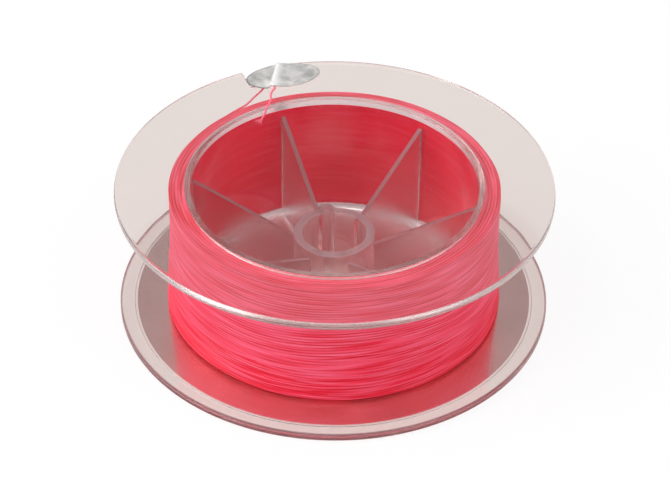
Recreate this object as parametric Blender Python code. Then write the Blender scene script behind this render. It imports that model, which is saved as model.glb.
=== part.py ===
"""Fishing line spool: a clear moulded spool, full of pink braided line.

Lengths are in metres, +Z is up, and the origin is the centre of the face the spool stands on. Headings
are in degrees, clockwise from +Y as seen from above.
"""

import math

import bmesh
import bpy

# Driving dimensions, from the real spool: 100 mm flanges, 33.4 mm overall.
FLANGE_R = 0.0500
FLANGE_T = 0.0019
HEIGHT = 0.0334
EDGE_ROUND = 0.0004  # the softened rim of both flanges

BARREL_OUT_R = 0.03407
BARREL_IN_R = 0.03275
SPIGOT_OUT_R = 0.03325  # the barrel's thin top, which the top flange drops over
FLOOR_FILLET = 0.0015
BOSS_FILLET = 0.0008

BOSS_OUT_R = 0.00938
BOSS_BORE_R = 0.00735
BOSS_TOP = 0.0191

RIB_COUNT = 6
RIB_FIRST_HEADING = -22.3
RIB_T = 0.0011
RIB_TOP_AT_BARREL = 0.0301
RIB_TOP_AT_BOSS = 0.0170
RIB_ROOT = 0.0006  # how far a rib is let into what it joins

KEY_HEADING = -12.5
KEY_LOBE_R = 0.0020
KEY_LOBE_CENTRE = 0.0091
KEY_GROOVE_W = 0.0026
KEY_GROOVE_OUT_R = 0.0096

RECESS_R = 0.0466  # the shallow recess under the floor, which takes the label
RECESS_DEPTH = 0.0007
LABEL_R = 0.0460
LABEL_HOLE_R = 0.0118  # clear of the boss and its key lobe
LABEL_T = 0.0003

NOTCH_MOUTH = (-22.3, 0.0097)  # heading and width at the rim
NOTCH_FOOT = (-25.5, 0.0042)  # heading and width at the foot
NOTCH_FOOT_R = 0.0423
NOTCH_CORNER = 0.0006

WINDING_FOOT_R = 0.0391
WINDING_MID_R = 0.0383
WINDING_TOP_R = 0.0378

LINE_D = 0.0004
# The free end: round the winding, up through the notch, under the sticker, over the flange, into the barrel.
LINE_ROUTE_MM = (
    (-33.2, 19.2, 29.6), (-30.2, 23.7, 29.8), (-26.6, 27.7, 30.1), (-23.8, 30.5, 30.4), (-21.4, 32.6, 30.7),
    (-19.5, 35.8, 30.8), (-17.9, 38.4, 30.9), (-17.1, 39.9, 31.3), (-16.8, 40.6, 32.4), (-16.6, 40.2, 33.5),
    (-16.0, 39.0, 34.0), (-15.1, 37.9, 34.0), (-14.5, 36.7, 33.95), (-15.1, 34.8, 33.9), (-15.3, 32.3, 33.9),
    (-15.9, 30.2, 33.95), (-16.3, 28.5, 33.9), (-16.8, 27.3, 32.9), (-17.4, 26.7, 31.9), (-17.9, 26.4, 30.9),
)

STICKER_CENTRE = (-0.0128, 0.0425)
STICKER_HALF = (0.0091, 0.0049)
STICKER_TILT = 16.9  # degrees, anticlockwise from +X
STICKER_T = 0.0003
STICKER_CREASE = ((-0.0146, 0.0470), (-0.0158, 0.0370))  # where it tents over the line end
STICKER_TENT = 0.0009
STICKER_TENT_W = 0.0016

GAP = 0.0003  # between pieces that touch on the real spool
TURN_STEPS = 96
ARC_STEPS = 3


def clear_scene():
    for item in list(bpy.data.objects):
        bpy.data.objects.remove(item, do_unlink=True)


def material(name, colour, roughness, metallic=0.0, transmission=0.0):
    made = bpy.data.materials.new(name)
    made.use_nodes = True
    shader = made.node_tree.nodes["Principled BSDF"]
    shader.inputs["Base Color"].default_value = (*colour, 1.0)
    shader.inputs["Roughness"].default_value = roughness
    shader.inputs["Metallic"].default_value = metallic
    shader.inputs["Transmission Weight"].default_value = transmission
    made.diffuse_color = (*colour, 1.0)
    return made


def polar(radius, heading):
    """The point at a radius and a heading, in plan."""
    angle = math.radians(heading)
    return radius * math.sin(angle), radius * math.cos(angle)


def arc(centre, radius, start, end, steps=ARC_STEPS):
    """Points on an arc from start to end, in degrees anticlockwise from the first axis."""
    points = []
    for step in range(steps + 1):
        angle = math.radians(start + (end - start) * step / steps)
        points.append((centre[0] + radius * math.cos(angle), centre[1] + radius * math.sin(angle)))
    return points


def new_object(name, bm, finish=None):
    """An object from a bmesh, with its faces pointing out and its round stretches shaded smooth."""
    bmesh.ops.recalc_face_normals(bm, faces=bm.faces)
    mesh = bpy.data.meshes.new(name)
    bm.to_mesh(mesh)
    bm.free()
    mesh.shade_smooth()
    mesh.set_sharp_from_angle(angle=math.radians(35))
    made = bpy.data.objects.new(name, mesh)
    bpy.context.scene.collection.objects.link(made)
    if finish:
        mesh.materials.append(finish)
    return made


def turned(name, outline, finish):
    """A ring turned round +Z from a closed outline of (radius, height) points."""
    bm = bmesh.new()
    points = [bm.verts.new((radius, 0.0, height)) for radius, height in outline]
    edges = [bm.edges.new((points[i - 1], points[i])) for i in range(len(points))]
    bmesh.ops.spin(
        bm, geom=points + edges, cent=(0, 0, 0), axis=(0, 0, 1), angle=math.tau, steps=TURN_STEPS
    )
    bmesh.ops.remove_doubles(bm, verts=bm.verts, dist=1e-6)
    return new_object(name, bm, finish)


def extrude_outline(bm, corners, along):
    """Adds a closed prism to bm: the outline's face, extruded along a vector."""
    face = bm.faces.new([bm.verts.new(corner) for corner in corners])
    grown = bmesh.ops.extrude_face_region(bm, geom=[face], use_keep_orig=True)
    moved = [item for item in grown["geom"] if isinstance(item, bmesh.types.BMVert)]
    bmesh.ops.translate(bm, verts=moved, vec=along)


def combine(target, tool, operation):
    """Joins a tool to the target, or cuts it out, by an exact Boolean."""
    modifier = target.modifiers.new(tool.name, "BOOLEAN")
    modifier.operation = operation
    modifier.solver = "EXACT"
    modifier.object = tool
    tool.hide_render = True
    tool.display_type = "WIRE"


def flange_rim(bottom):
    """The outer rim of a flange, from its underside up round to its top face."""
    centre_r = FLANGE_R - EDGE_ROUND
    lower = arc((centre_r, bottom + EDGE_ROUND), EDGE_ROUND, -90, 0)
    upper = arc((centre_r, bottom + FLANGE_T - EDGE_ROUND), EDGE_ROUND, 0, 90)
    return lower + upper


def body_outline():
    """Half the section of the lower moulding, without its ribs."""
    shoulder = HEIGHT - FLANGE_T - GAP
    lip = 0.0002
    outline = [(BOSS_BORE_R, 0.0), (BOSS_OUT_R, 0.0), (BOSS_OUT_R, RECESS_DEPTH)]
    outline += [(RECESS_R, RECESS_DEPTH), (RECESS_R, 0.0)]
    outline += flange_rim(0.0)
    outline += [(BARREL_OUT_R, FLANGE_T), (BARREL_OUT_R, shoulder), (SPIGOT_OUT_R, shoulder)]
    outline += [(SPIGOT_OUT_R, HEIGHT), (BARREL_IN_R + lip, HEIGHT), (BARREL_IN_R, HEIGHT - lip)]
    outline += arc((BARREL_IN_R - FLOOR_FILLET, FLANGE_T + FLOOR_FILLET), FLOOR_FILLET, 0, -90)
    outline += arc((BOSS_OUT_R + BOSS_FILLET, FLANGE_T + BOSS_FILLET), BOSS_FILLET, -90, -180)
    outline += [(BOSS_OUT_R, BOSS_TOP), (BOSS_BORE_R, BOSS_TOP)]
    return outline


def gusset_ribs():
    """The six ribs, each a slab that slopes up from the boss to the barrel wall."""
    slope = (RIB_TOP_AT_BARREL - RIB_TOP_AT_BOSS) / (BARREL_IN_R - BOSS_OUT_R)
    near_r = BOSS_OUT_R - RIB_ROOT
    far_r = BARREL_IN_R + RIB_ROOT
    bottom = FLANGE_T - RIB_ROOT
    section = [
        (near_r, bottom),
        (far_r, bottom),
        (far_r, RIB_TOP_AT_BARREL + slope * RIB_ROOT),
        (near_r, RIB_TOP_AT_BOSS - slope * RIB_ROOT),
    ]
    bm = bmesh.new()
    for number in range(RIB_COUNT):
        heading = RIB_FIRST_HEADING + 360 * number / RIB_COUNT
        across = polar(RIB_T, heading + 90)
        corners = []
        for radius, height in section:
            x, y = polar(radius, heading)
            corners.append((x - across[0] / 2, y - across[1] / 2, height))
        extrude_outline(bm, corners, (*across, 0.0))
    return new_object("rib_tool", bm)


def key_lobe():
    """The bump on the boss that leaves room for its keyway."""
    centre = polar(KEY_LOBE_CENTRE, KEY_HEADING)
    bm = bmesh.new()
    corners = [(x, y, 0.0) for x, y in arc(centre, KEY_LOBE_R, 0, 345, 23)]
    extrude_outline(bm, corners, (0, 0, BOSS_TOP))
    return new_object("lobe_tool", bm)


def key_groove():
    """The round-ended groove cut down the boss's bore, for the spindle's key."""
    half = KEY_GROOVE_W / 2
    end = KEY_GROOVE_OUT_R - half
    start = BOSS_BORE_R - half
    local = [(-half, start), (half, start)] + arc((0.0, end), half, 0, 180, 8)
    turn = math.radians(-KEY_HEADING)
    bm = bmesh.new()
    corners = []
    for across, out in local:
        x = across * math.cos(turn) - out * math.sin(turn)
        y = across * math.sin(turn) + out * math.cos(turn)
        corners.append((x, y, -FLANGE_T))
    extrude_outline(bm, corners, (0, 0, BOSS_TOP + 2 * FLANGE_T))
    return new_object("groove_tool", bm)


def notch_side(heading, width, radius, side):
    """A corner of the line notch: a point at a heading, moved sideways by half the width."""
    x, y = polar(radius, heading)
    across = polar(side * width / 2, heading + 90)
    return x + across[0], y + across[1]


def rounded_corner(before, corner, after, radius):
    """Three points that round a corner off, cut back by the radius on both its sides."""
    points = []
    for other in (before, after):
        length = math.dist(corner, other)
        points.append(tuple(c + (o - c) * radius / length for c, o in zip(corner, other)))
    first, last = points
    middle = tuple((a + b) / 4 + c / 2 for a, b, c in zip(first, last, corner))
    return [first, middle, last]


def line_notch():
    """The slanted notch in the top flange's rim, which catches the line's end."""
    past_rim = FLANGE_R + 0.004
    left_mouth = notch_side(*NOTCH_MOUTH, FLANGE_R, -1)
    right_mouth = notch_side(*NOTCH_MOUTH, FLANGE_R, 1)
    left_foot = notch_side(*NOTCH_FOOT, NOTCH_FOOT_R, -1)
    right_foot = notch_side(*NOTCH_FOOT, NOTCH_FOOT_R, 1)
    outside = [notch_side(NOTCH_MOUTH[0], NOTCH_MOUTH[1], past_rim, side) for side in (1, -1)]
    outline = [left_mouth]
    outline += rounded_corner(left_mouth, left_foot, right_foot, NOTCH_CORNER)
    outline += rounded_corner(left_foot, right_foot, right_mouth, NOTCH_CORNER)
    outline += [right_mouth] + outside
    bm = bmesh.new()
    bottom = HEIGHT - 2 * FLANGE_T
    extrude_outline(bm, [(x, y, bottom) for x, y in outline], (0, 0, 3 * FLANGE_T))
    return new_object("notch_tool", bm)


def spool_body(finish):
    body = turned("spool_body", body_outline(), finish)
    combine(body, gusset_ribs(), "UNION")
    combine(body, key_lobe(), "UNION")
    combine(body, key_groove(), "DIFFERENCE")


def top_flange(finish):
    bottom = HEIGHT - FLANGE_T
    hole_r = SPIGOT_OUT_R + GAP
    outline = [(hole_r, bottom)] + flange_rim(bottom) + [(hole_r, HEIGHT)]
    combine(turned("top_flange", outline, finish), line_notch(), "DIFFERENCE")


def line_winding(finish):
    """The wound line as one ring, a little wider at its foot than at its top."""
    bottom = FLANGE_T + GAP
    top = HEIGHT - FLANGE_T - GAP
    middle = (bottom + top) / 2
    round_r = 0.0005
    outline = [(BARREL_OUT_R + GAP, bottom)]
    outline += arc((WINDING_FOOT_R - round_r, bottom + round_r), round_r, -90, 0)
    outline += [(WINDING_MID_R, middle)]
    outline += arc((WINDING_TOP_R - round_r, top - round_r), round_r, 0, 90)
    outline += [(BARREL_OUT_R + GAP, top)]
    turned("line_winding", outline, finish)


def catmull_rom(points, steps):
    """Points on a smooth curve through a route's points, at even shares of each stretch."""
    first = [2 * a - b for a, b in zip(points[0], points[1])]
    last = [2 * a - b for a, b in zip(points[-1], points[-2])]
    route = [first, *points, last]
    curve = []
    for before, start, end, after in zip(route, route[1:], route[2:], route[3:]):
        for step in range(steps):
            t = step / steps
            curve.append(
                tuple(
                    0.5 * (2 * b + (c - a) * t + (2 * a - 5 * b + 4 * c - d) * t**2
                           + (3 * b - a - 3 * c + d) * t**3)
                    for a, b, c, d in zip(before, start, end, after)
                )
            )
    curve.append(tuple(points[-1]))
    return curve


def line_end(finish):
    """The free end of the line: a thin tube on a smooth curve through its route."""
    route = [tuple(value / 1000 for value in point) for point in LINE_ROUTE_MM]
    points = catmull_rom(route, 3)
    curve = bpy.data.curves.new("line_end", "CURVE")
    curve.dimensions = "3D"
    curve.bevel_depth = LINE_D / 2
    curve.bevel_resolution = 2
    curve.use_fill_caps = True
    spline = curve.splines.new("POLY")
    spline.points.add(len(points) - 1)
    for target, point in zip(spline.points, points):
        target.co = (*point, 1.0)
    curve.materials.append(finish)
    made = bpy.data.objects.new("line_end", curve)
    bpy.context.scene.collection.objects.link(made)


def tent_height(x, y):
    """How far the sticker is lifted over the line end, at a point in plan."""
    (x0, y0), (x1, y1) = STICKER_CREASE
    length = math.dist((x0, y0), (x1, y1))
    away = ((x - x0) * (y1 - y0) - (y - y0) * (x1 - x0)) / length
    return STICKER_TENT * math.exp(-((away / STICKER_TENT_W) ** 2))


def end_sticker(finish):
    """The oval sticker: a thin sheet on the flange, tented over the line end."""
    tilt = math.radians(STICKER_TILT)
    rings, steps = 6, 40
    base = HEIGHT + GAP
    bm = bmesh.new()

    def place(across, along, lift):
        x = STICKER_CENTRE[0] + across * math.cos(tilt) - along * math.sin(tilt)
        y = STICKER_CENTRE[1] + across * math.sin(tilt) + along * math.cos(tilt)
        return bm.verts.new((x, y, base + tent_height(x, y) + lift))

    skins = []
    for lift in (0.0, STICKER_T):
        centre = place(0.0, 0.0, lift)
        loops = []
        for ring in range(1, rings + 1):
            share = ring / rings
            loop = []
            for step in range(steps):
                angle = math.tau * step / steps
                across = STICKER_HALF[0] * share * math.cos(angle)
                along = STICKER_HALF[1] * share * math.sin(angle)
                loop.append(place(across, along, lift))
            loops.append(loop)
        for step in range(steps):
            bm.faces.new((centre, loops[0][step - 1], loops[0][step]))
            for inner, outer in zip(loops, loops[1:]):
                bm.faces.new((inner[step - 1], outer[step - 1], outer[step], inner[step]))
        skins.append(loops[-1])
    under, upper = skins
    for step in range(steps):
        bm.faces.new((under[step - 1], under[step], upper[step], upper[step - 1]))
    new_object("end_sticker", bm, finish)


def foil_label(finish):
    """The round label in the recess under the floor, a little above the face the spool stands on."""
    top = RECESS_DEPTH - GAP
    outline = [
        (LABEL_HOLE_R, top - LABEL_T),
        (LABEL_R, top - LABEL_T),
        (LABEL_R, top),
        (LABEL_HOLE_R, top),
    ]
    turned("foil_label", outline, finish)


def main():
    clear_scene()
    clear_plastic = material("clear_plastic", (0.93, 0.90, 0.89), 0.08, transmission=0.9)
    pink_braid = material("pink_braid", (0.88, 0.10, 0.16), 0.65)
    silver_foil = material("silver_foil", (0.62, 0.58, 0.57), 0.28, metallic=0.8)
    silver_paper = material("silver_paper", (0.72, 0.72, 0.72), 0.35, metallic=0.6)
    spool_body(clear_plastic)
    top_flange(clear_plastic)
    line_winding(pink_braid)
    line_end(pink_braid)
    end_sticker(silver_paper)
    foil_label(silver_foil)


main()
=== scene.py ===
# %% [markdown]
# # A clear spool, full of pink braided line
#
# The object is a fishing line spool about 100 mm across. A clear moulding carries the line on its barrel,
# a clear ring closes it at the top, and a round foil label shines through the floor. This lesson dresses
# the imported model of that spool: every piece below is modelled in its real place, in metres, with the
# spool standing on the plane z = 0.
#
# ## The frame
#
# The imported model comes first. Its nodes say where everything is, so nothing has to be fitted later. The
# box round it is kept, to print it at the end beside the box round the new pieces.

# %% Load the imported model
import math

import bmesh
import bpy
import numpy as np
from mathutils import Matrix, Vector


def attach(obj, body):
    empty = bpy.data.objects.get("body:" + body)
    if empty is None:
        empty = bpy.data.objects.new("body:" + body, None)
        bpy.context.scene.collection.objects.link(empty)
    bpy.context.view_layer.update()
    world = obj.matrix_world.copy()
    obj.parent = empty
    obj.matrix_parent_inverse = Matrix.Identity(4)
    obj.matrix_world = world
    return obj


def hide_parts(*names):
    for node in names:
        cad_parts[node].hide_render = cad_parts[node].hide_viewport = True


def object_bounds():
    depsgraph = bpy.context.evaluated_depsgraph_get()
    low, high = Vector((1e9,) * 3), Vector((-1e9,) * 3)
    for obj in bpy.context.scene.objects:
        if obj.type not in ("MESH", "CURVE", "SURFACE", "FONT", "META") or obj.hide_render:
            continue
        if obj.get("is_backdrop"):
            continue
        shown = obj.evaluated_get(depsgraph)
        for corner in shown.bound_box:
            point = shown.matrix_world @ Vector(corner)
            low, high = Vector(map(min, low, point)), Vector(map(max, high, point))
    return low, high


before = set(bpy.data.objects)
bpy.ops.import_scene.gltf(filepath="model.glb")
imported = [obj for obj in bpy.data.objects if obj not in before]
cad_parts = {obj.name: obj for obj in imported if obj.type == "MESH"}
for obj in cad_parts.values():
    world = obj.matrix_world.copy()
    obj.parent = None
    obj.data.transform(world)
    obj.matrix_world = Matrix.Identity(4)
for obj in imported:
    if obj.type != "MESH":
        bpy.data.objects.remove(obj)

cad_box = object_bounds()
MM = 0.001
print("nodes:", sorted(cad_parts))
print("box, in mm:", [round(value / MM, 2) for corner in cad_box for value in corner])

# %% [markdown]
# ## The camera
#
# The photograph looks down on the spool from the front. Both flanges are circles of a known size, so the
# shapes of their outlines give the camera's height, distance and focal length. The lens's axis meets the
# picture a little above its middle, which a small shift says.

# %% Place the camera
PHOTO_W, PHOTO_H = 670, 502
SENSOR_W = 36.0
FOCAL_PX = 2216.0
AXIS_PX = (334.09, 245.62)  # where the lens's axis meets the picture
CAMERA_TARGET = Vector((0.0, 0.0, 0.015))
CAMERA_DISTANCE = 0.5138
CAMERA_ELEVATION = math.radians(38.255)
CAMERA_ROLL = math.radians(0.69)

back = Vector((0.0, -math.cos(CAMERA_ELEVATION), math.sin(CAMERA_ELEVATION)))
right = Vector((1.0, 0.0, 0.0))
up = back.cross(right)
turn, lean = math.cos(CAMERA_ROLL), math.sin(CAMERA_ROLL)
axes = Matrix((right * turn + up * lean, up * turn - right * lean, back)).transposed()
bpy.ops.object.camera_add()
camera = bpy.context.object
camera.name = "photo_camera"
camera.matrix_world = Matrix.Translation(CAMERA_TARGET + back * CAMERA_DISTANCE) @ axes.to_4x4()
camera.data.sensor_width = SENSOR_W
camera.data.lens = FOCAL_PX / PHOTO_W * SENSOR_W
camera.data.shift_x = (PHOTO_W / 2 - AXIS_PX[0]) / PHOTO_W
camera.data.shift_y = (AXIS_PX[1] - PHOTO_H / 2) / PHOTO_W
camera.data.clip_start = 0.01
bpy.context.scene.camera = camera
print("camera at", [round(value, 4) for value in camera.location], "lens", round(camera.data.lens, 1))

# %% [markdown]
# ## The spool's sizes
#
# The same few sizes drive all the pieces. They are the real spool's, read from the photograph with the
# flanges taken as 100 mm across.

# %% Driving sizes
FLANGE_R = 50.0 * MM
FLANGE_T = 1.9 * MM
HEIGHT = 33.4 * MM
RIM_ROUND = 0.8 * MM  # the top ring's rim is nearly half-round, and the lower flange's has half of this
BARREL_OUT_R = 34.07 * MM
BARREL_IN_R = 32.75 * MM
SEAM = 0.05 * MM  # the joint between the barrel and the top ring
BOSS_OUT_R = 9.38 * MM
BOSS_BORE_R = 7.35 * MM
BOSS_TOP = 19.1 * MM
RECESS_R = 46.6 * MM
RECESS_DEPTH = 0.7 * MM
TOP_UNDER = HEIGHT - FLANGE_T  # the underside of the top ring
SAME = 0.01 * MM  # lengths this close count as equal
NEAR = 0.1 * MM  # how near a face lies to the surface that it belongs to
print("room for the line, in mm:", round((TOP_UNDER - FLANGE_T) / MM, 2))

# %% [markdown]
# ## Small tools
#
# Blender's operators act on whatever is selected, and loading the model leaves its nodes selected. So
# every step first deselects everything, then picks its own piece.

# %% Select, apply, bevel, shade
def nothing_selected():
    if bpy.context.mode != "OBJECT":
        bpy.ops.object.mode_set(mode="OBJECT")
    bpy.ops.object.select_all(action="DESELECT")


def only(piece):
    """Selects one piece and makes it the active one."""
    nothing_selected()
    piece.select_set(True)
    bpy.context.view_layer.objects.active = piece


def edit(piece):
    """Opens a piece in edit mode, all of it selected."""
    only(piece)
    bpy.ops.object.mode_set(mode="EDIT")
    bpy.ops.mesh.select_all(action="SELECT")


def apply_modifier(piece, kind, **settings):
    only(piece)
    bpy.ops.object.modifier_add(type=kind)
    modifier = piece.modifiers[-1]
    for name, value in settings.items():
        setattr(modifier, name, value)
    bpy.ops.object.modifier_apply(modifier=modifier.name)


def select_edges(piece, wanted):
    """In edit mode, selects the edges for which wanted(edge) is true, and returns how many there are."""
    bpy.ops.mesh.select_all(action="DESELECT")
    bpy.ops.mesh.select_mode(type="EDGE")
    bm = bmesh.from_edit_mesh(piece.data)
    found = 0
    for edge in bm.edges:
        if wanted(edge):
            edge.select_set(True)
            found += 1
    bm.select_flush_mode()
    bmesh.update_edit_mesh(piece.data)
    return found


def bevel(piece, wanted, radius, segments):
    """Rounds the edges for which wanted(edge) is true, and returns how many there are."""
    edit(piece)
    found = select_edges(piece, wanted)
    bpy.ops.mesh.bevel(offset=radius, segments=segments, affect="EDGES")
    bpy.ops.object.mode_set(mode="OBJECT")
    return found


def mend(piece, merge=1e-6):
    """Merges points that coincide and turns all faces outwards."""
    edit(piece)
    bpy.ops.mesh.remove_doubles(threshold=merge)
    bpy.ops.mesh.normals_make_consistent(inside=False)
    bpy.ops.object.mode_set(mode="OBJECT")


def rise(edge):
    """How much higher one end of an edge lies than the other."""
    return abs(edge.verts[0].co.z - edge.verts[1].co.z)


def sharper_than(edge, angle):
    return len(edge.link_faces) == 2 and edge.calc_face_angle() > math.radians(angle)


def smooth(piece, angle=30):
    """Smooth shading with true flats: face-weighted normals keep a flat face flat beside a rounded edge."""
    only(piece)
    bpy.ops.object.shade_smooth_by_angle(angle=math.radians(angle))
    apply_modifier(piece, "WEIGHTED_NORMAL", keep_sharp=True)


def store(piece, name, values, domain="POINT"):
    """Keeps a number for each point or face of the mesh, which a material can read."""
    attribute = piece.data.attributes.new(name, "FLOAT", domain)
    attribute.data.foreach_set("value", values)


def report(piece):
    lo = [min(v.co[axis] for v in piece.data.vertices) / MM for axis in range(3)]
    hi = [max(v.co[axis] for v in piece.data.vertices) / MM for axis in range(3)]
    triangles = sum(len(face.vertices) - 2 for face in piece.data.polygons)
    bm = bmesh.new()
    bm.from_mesh(piece.data)
    open_edges = sum(not edge.is_manifold for edge in bm.edges)
    bm.free()
    print(piece.name, [round(v, 2) for v in lo], [round(v, 2) for v in hi], triangles, "triangles,",
          open_edges, "open edges")


# %% [markdown]
# ## Turned pieces
#
# The moulding, the ring, the label and the wound line are all round. Each could be stacked from
# cylinders, but its section is one closed line, so it is drawn as one: a single vertex is extruded from
# corner to corner, and the line is spun round the axis. Corners that are rounded on the real piece get
# their radius from a bevel afterwards.

# %% Draw a section and spin it
TURN_STEPS = 256


def section_line(name, corners):
    """A line of vertices through (radius, height) corners, made by extruding one vertex."""
    nothing_selected()
    bpy.ops.mesh.primitive_plane_add(size=MM)
    piece = bpy.context.object
    piece.name = name
    bpy.ops.object.mode_set(mode="EDIT")
    bpy.ops.mesh.select_mode(type="VERT")
    bpy.ops.mesh.select_all(action="SELECT")
    bpy.ops.mesh.merge(type="CENTER")
    bpy.ops.transform.translate(value=(corners[0][0], 0, corners[0][1]))
    for start, end in zip(corners, corners[1:]):
        step = (end[0] - start[0], 0, end[1] - start[1])
        bpy.ops.mesh.extrude_region_move(TRANSFORM_OT_translate={"value": step})
    return piece


def spun(name, corners, steps=TURN_STEPS):
    """A closed ring: the section's line, shut on itself and spun round the spool's axis."""
    piece = section_line(name, [*corners, corners[0]])
    bpy.ops.mesh.select_all(action="SELECT")
    bpy.ops.mesh.spin(steps=steps, angle=math.tau, center=(0, 0, 0), axis=(0, 0, 1))
    mend(piece)
    return piece


def on_ring(vertex, radius, height):
    return abs(vertex.co.xy.length - radius) < 2 * SAME and abs(vertex.co.z - height) < 2 * SAME


def round_rings(piece, corners, radius, segments):
    """Rounds the edges that run round the piece at the given (radius, height) corners."""
    found = bevel(
        piece, lambda edge: any(all(on_ring(vertex, *corner) for vertex in edge.verts) for corner in corners),
        radius, segments,
    )
    print(piece.name, "rounded", found, "edges by", round(radius / MM, 2), "mm")


# %% [markdown]
# ## The loose end of the line
#
# The line's end leaves the winding at the back, comes up through the notch in the top ring's rim, runs
# under the oval sticker and hangs over the ring into the barrel. A limp line has no straight runs and no
# corners, so its path is one smooth curve through a few points. It is a curve with a round bevel, and its
# length is measured along the curve.

# %% The route and its curve
LINE_D = 0.4 * MM
THINNING = 2.2 * MM  # the line thins out over this last stretch, where the braid opens
CORE_TIP = 0.3  # the share of its thickness that the core keeps at its end
LINE_ROUTE = (
    (-0.0332, 0.0192, 0.0296), (-0.0302, 0.0237, 0.0298), (-0.0266, 0.0277, 0.0301),
    (-0.0238, 0.0305, 0.0304), (-0.0214, 0.0326, 0.0307), (-0.0195, 0.0358, 0.0308),
    (-0.0179, 0.0384, 0.0309), (-0.0171, 0.0399, 0.0313), (-0.0168, 0.0406, 0.0324),
    (-0.0166, 0.0402, 0.0335), (-0.0160, 0.0390, 0.0340), (-0.0151, 0.0379, 0.0340),
    (-0.0146, 0.0368, 0.03395), (-0.0152, 0.0354, 0.0339), (-0.01553, 0.0337, 0.0339),
    (-0.0154, 0.0321, 0.0339), (-0.01575, 0.0303, 0.03395), (-0.0163, 0.0285, 0.0339),
    (-0.0168, 0.0273, 0.0329), (-0.0174, 0.0267, 0.0319), (-0.0179, 0.0264, 0.0309),
)


def smooth_path(points, steps):
    """Points on a smooth curve through a route's points, a few for each stretch."""
    first = [2 * a - b for a, b in zip(points[0], points[1])]
    last = [2 * a - b for a, b in zip(points[-1], points[-2])]
    route = [Vector(point) for point in (first, *points, last)]
    path = []
    for before, start, end, after in zip(route, route[1:], route[2:], route[3:]):
        for step in range(steps):
            t = step / steps
            bend = (2 * before - 5 * start + 4 * end - after) * t**2
            twist = (3 * start - before - 3 * end + after) * t**3
            path.append((2 * start + (end - before) * t + bend + twist) / 2)
    return path + [Vector(points[-1])]


def tube_curve(name, paths, diameters, sides=2):
    """One curve object with a round tube along each path; a path's diameter may change along it."""
    curve = bpy.data.curves.new(name, "CURVE")
    curve.dimensions = "3D"
    curve.bevel_depth = 0.5
    curve.bevel_resolution = sides
    curve.use_fill_caps = True
    for path, widths in zip(paths, diameters):
        spline = curve.splines.new("POLY")
        spline.points.add(len(path) - 1)
        for target, point, width in zip(spline.points, path, widths):
            target.co = (*point, 1.0)
            target.radius = width
    piece = bpy.data.objects.new(name, curve)
    bpy.context.scene.collection.objects.link(piece)
    return piece


def as_mesh(piece):
    """Turns a curve into a mesh and joins its end caps to its tubes."""
    only(piece)
    bpy.ops.object.convert(target="MESH")
    piece = bpy.context.object
    mend(piece, merge=1e-7)
    return piece


def thinned(path, diameter, tip):
    """The widths along a path that thins out towards its end."""
    return [diameter * min(1, tip + (point - path[-1]).length / THINNING) for point in path]


line_path = smooth_path(LINE_ROUTE, 3)
line_length = sum((b - a).length for a, b in zip(line_path, line_path[1:]))
loose_end = tube_curve("loose_end", [line_path], [thinned(line_path, LINE_D, CORE_TIP)])
print("loose end:", round(line_length / MM, 1), "mm long, of", len(line_path), "points")

# %% [markdown]
# ## The clear moulding
#
# The lower flange, the barrel, the floor, the keyed boss and the six ribs come out of one mould, so they
# are one body of plastic. They could be separate meshes that touch, but light would then be bent at
# every hidden joint, and a clear part would show it. So the turned part is spun first, and the ribs and
# the boss's lobe are joined to it by Booleans.

# %% Turn the flange, barrel, floor and boss
FLOOR_FILLET = 2.4 * MM  # where the barrel's wall meets the floor
BOSS_FILLET = 0.8 * MM
RECESS_ROUND = 0.12 * MM
WALL_ROUND = 0.2 * MM  # the top of the barrel's wall

body_corners = [
    (BOSS_BORE_R, 0), (BOSS_OUT_R, 0), (BOSS_OUT_R, RECESS_DEPTH), (RECESS_R, RECESS_DEPTH),
    (RECESS_R, 0), (FLANGE_R, 0), (FLANGE_R, FLANGE_T), (BARREL_OUT_R, FLANGE_T),
    (BARREL_OUT_R, TOP_UNDER), (BARREL_OUT_R, HEIGHT), (BARREL_IN_R, HEIGHT), (BARREL_IN_R, FLANGE_T),
    (BOSS_OUT_R, FLANGE_T), (BOSS_OUT_R, BOSS_TOP), (BOSS_BORE_R, BOSS_TOP),
]
moulding = spun("spool_moulding", body_corners)
round_rings(moulding, [(FLANGE_R, 0), (FLANGE_R, FLANGE_T)], RIM_ROUND / 2, 4)
round_rings(moulding, [(BARREL_IN_R, FLANGE_T)], FLOOR_FILLET, 8)
round_rings(moulding, [(BOSS_OUT_R, FLANGE_T)], BOSS_FILLET, 4)
round_rings(moulding, [(RECESS_R, 0), (RECESS_R, RECESS_DEPTH)], RECESS_ROUND, 2)
round_rings(moulding, [(BARREL_IN_R, HEIGHT), (BARREL_OUT_R, HEIGHT)], WALL_ROUND, 3)

# %% [markdown]
# Each rib is a thin gusset that slopes from the top of the barrel down to the boss. One rib starts as a
# block whose upper outer corners are raised, and its top edges are softened. The other five are copies
# of it, turned by 60 degrees. The ends run a little way into the barrel, the boss and the floor, so that
# the Boolean has no faces that only touch.

# %% Model one rib and copy it round
RIB_COUNT = 6
RIB_FIRST_HEADING = -22.3  # degrees clockwise from +Y, seen from above
RIB_T = 1.1 * MM
RIB_TOP_AT_BARREL = 30.1 * MM
RIB_TOP_AT_BOSS = 17.0 * MM
RIB_ROOT = 0.6 * MM  # how far a rib runs into its neighbours
RIB_ROUND = 0.15 * MM


def turn_to(piece, heading):
    """Turns a finished piece from +Y to a heading, and leaves the turn in its mesh."""
    only(piece)
    piece.rotation_euler.z = -math.radians(heading)
    bpy.ops.object.transform_apply(location=True, rotation=True, scale=True)


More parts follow.
